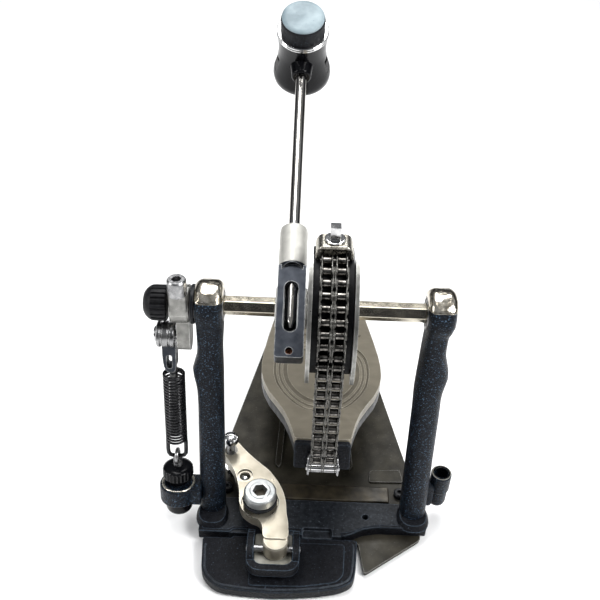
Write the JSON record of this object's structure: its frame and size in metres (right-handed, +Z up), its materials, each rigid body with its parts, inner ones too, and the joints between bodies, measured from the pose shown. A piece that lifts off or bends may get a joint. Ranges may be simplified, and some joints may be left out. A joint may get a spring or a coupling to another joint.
{
  "type": "bass drum pedal",
  "caption": "Single bass drum pedal with a double-chain drive, tilting footboard, swinging beater, return spring and hoop clamp",
  "frame": {"origin": "on the floor plane, straight below the middle of the axle, halfway between the posts", "axes": "+X to the right seen from the drum, along the axle; +Y towards the heel; +Z up"},
  "size_m": [0.2253, 0.345, 0.3343],
  "materials": {
    "dark_steel": "satin black-olive paint",
    "black_crinkle": "black crinkle paint, metal underneath assumed cast alloy",
    "black_paint": "black hammer paint, metal underneath assumed cast alloy",
    "black_rubber": "matt",
    "black_plastic": "moulded, fine grain",
    "chrome": "polished",
    "nickel": "satin nickel",
    "bearing_steel": "plain steel",
    "satin_alloy": "satin cast alloy",
    "champagne_alloy": "satin champagne",
    "chain_steel": "oiled steel",
    "spring_steel": "blackened steel",
    "pale_plastic": "pale smooth plastic"
  },
  "bodies": {
    "frame": {"base_plate": "dark_steel", "rubber_base_mat": "black_rubber", "front_casting": "black_crinkle", "cross_bar": "dark_steel", "hoop_plate": "black_crinkle", "hoop_rubber": "black_rubber", "foot_screws": "chrome", "left_post": "black_paint", "left_post_cap": "nickel", "left_bearing": "bearing_steel", "right_post": "black_paint", "right_post_cap": "nickel", "right_bearing": "bearing_steel", "spring_bracket": "black_paint", "tension_eyebolt": "bearing_steel", "lower_dome_nut": "black_paint", "key_socket": "black_paint", "heel_plate": "black_paint", "heel_hinge_pin": "bearing_steel", "heel_screws": "chrome", "clamp_bolt": "chrome", "clamp_washer": "black_rubber"},
    "axle": {"hex_axle": "chrome", "axle_end_knob": "black_plastic", "spring_rocker": "satin_alloy", "rocker_pin": "bearing_steel", "rocker_clamp_screw": "chrome", "cam_hub": "satin_alloy", "cam_track": "black_plastic", "left_cam_flange": "satin_alloy", "right_cam_flange": "satin_alloy", "chain_on_cam": "chain_steel", "chain_clamp": "nickel", "chain_clamp_screw": "chrome", "holder_hub": "satin_alloy", "beater_holder": "satin_alloy", "holder_set_screw": "bearing_steel", "rod_clamp_screw": "chrome"},
    "beater": {"beater_rod": "chrome", "beater_shell": "black_plastic", "beater_ring": "chrome", "beater_rubber": "black_rubber", "beater_face": "pale_plastic"},
    "footboard": {"footboard": "champagne_alloy", "board_inlay": "champagne_alloy", "board_skirt": "black_paint", "toe_block": "black_crinkle", "chain_anchor": "chrome", "chain_anchor_pin": "bearing_steel"},
    "chain_run": {"chain_drop": "chain_steel"},
    "spring": {"coil_spring": "spring_steel", "spring_shackle": "spring_steel"},
    "spring_top": {"spring_end_coils": "spring_steel"},
    "hanger": {"spring_hanger": "bearing_steel"},
    "tension_knob": {"tension_knob": "black_plastic"},
    "clamp_lever": {"clamp_lever": "nickel"},
    "clamp_shoe": {"clamp_shoe": "black_paint", "clamp_shoe_pad": "pale_plastic", "clamp_shoe_pin": "bearing_steel"},
    "clamp_screw": {"clamp_adjust_screw": "nickel"}
  },
  "joints": [
    {"name": "axle_turn", "type": "hinge", "parent": "frame", "child": "axle", "pos_m": [0, 0, 0.19], "axis": [1, 0, 0], "range_deg": [0, 66], "stiffness_Nm_per_rad": 0.8, "springref_deg": -14.32},
    {"name": "beater_height", "type": "slide", "parent": "axle", "child": "beater", "axis": [0, 0.891, 0.454], "range_m": [-0.006, 0.03]},
    {"name": "footboard_tilt", "type": "hinge", "parent": "frame", "child": "footboard", "pos_m": [0.003, 0.225, 0.02], "axis": [1, 0, 0], "range_deg": [0, 11.85]},
    {"name": "chain_run_tilt", "type": "hinge", "parent": "footboard", "child": "chain_run", "pos_m": [0.0035, -0.05, 0.08804], "axis": [1, 0, 0], "range_deg": [-14.75, 0]},
    {"name": "spring_lean", "type": "hinge", "parent": "frame", "child": "spring", "pos_m": [-0.103, -0.02352, 0.06398], "axis": [1, 0, 0], "range_deg": [-11.7, 0]},
    {"name": "spring_stretch", "type": "slide", "parent": "spring", "child": "spring_top", "axis": [0, 0.1834, 0.983], "range_m": [0, 0.0117], "deforming": ["coil_spring"]},
    {"name": "hanger_swing", "type": "hinge", "parent": "axle", "child": "hanger", "pos_m": [-0.1065, -0.0044, 0.16641], "axis": [1, 0, 0], "range_deg": [-77.7, 0]},
    {"name": "tension_knob_turn", "type": "hinge", "parent": "frame", "child": "tension_knob", "pos_m": [-0.103, -0.02608, 0.05021], "axis": [0, 0.1834, 0.983], "continuous": true},
    {"name": "clamp_tilt", "type": "hinge", "parent": "frame", "child": "clamp_lever", "pos_m": [-0.0405, -0.043, 0.0335], "axis": [1, 0, 0], "range_deg": [0, 10]},
    {"name": "clamp_shoe_swivel", "type": "hinge", "parent": "clamp_lever", "child": "clamp_shoe", "pos_m": [-0.029, -0.075, 0.027], "axis": [1, 0, 0], "range_deg": [-10.05, 0.05]},
    {"name": "clamp_screw_turn", "type": "hinge", "parent": "clamp_lever", "child": "clamp_screw", "pos_m": [-0.0665, 0.006, 0.03], "axis": [0, 0, 1], "continuous": true}
  ],
  "couplings": [
    {"joint": "footboard_tilt", "follows": "axle_turn", "ratio": 0.1787},
    {"joint": "chain_run_tilt", "follows": "axle_turn", "ratio": -0.2227},
    {"joint": "spring_lean", "follows": "axle_turn", "ratio": -0.176},
    {"joint": "spring_stretch", "follows": "axle_turn", "m_per_rad": 0.01},
    {"joint": "hanger_swing", "follows": "axle_turn", "ratio": -1.176},
    {"joint": "clamp_shoe_swivel", "follows": "clamp_tilt", "ratio": -1}
  ]
}
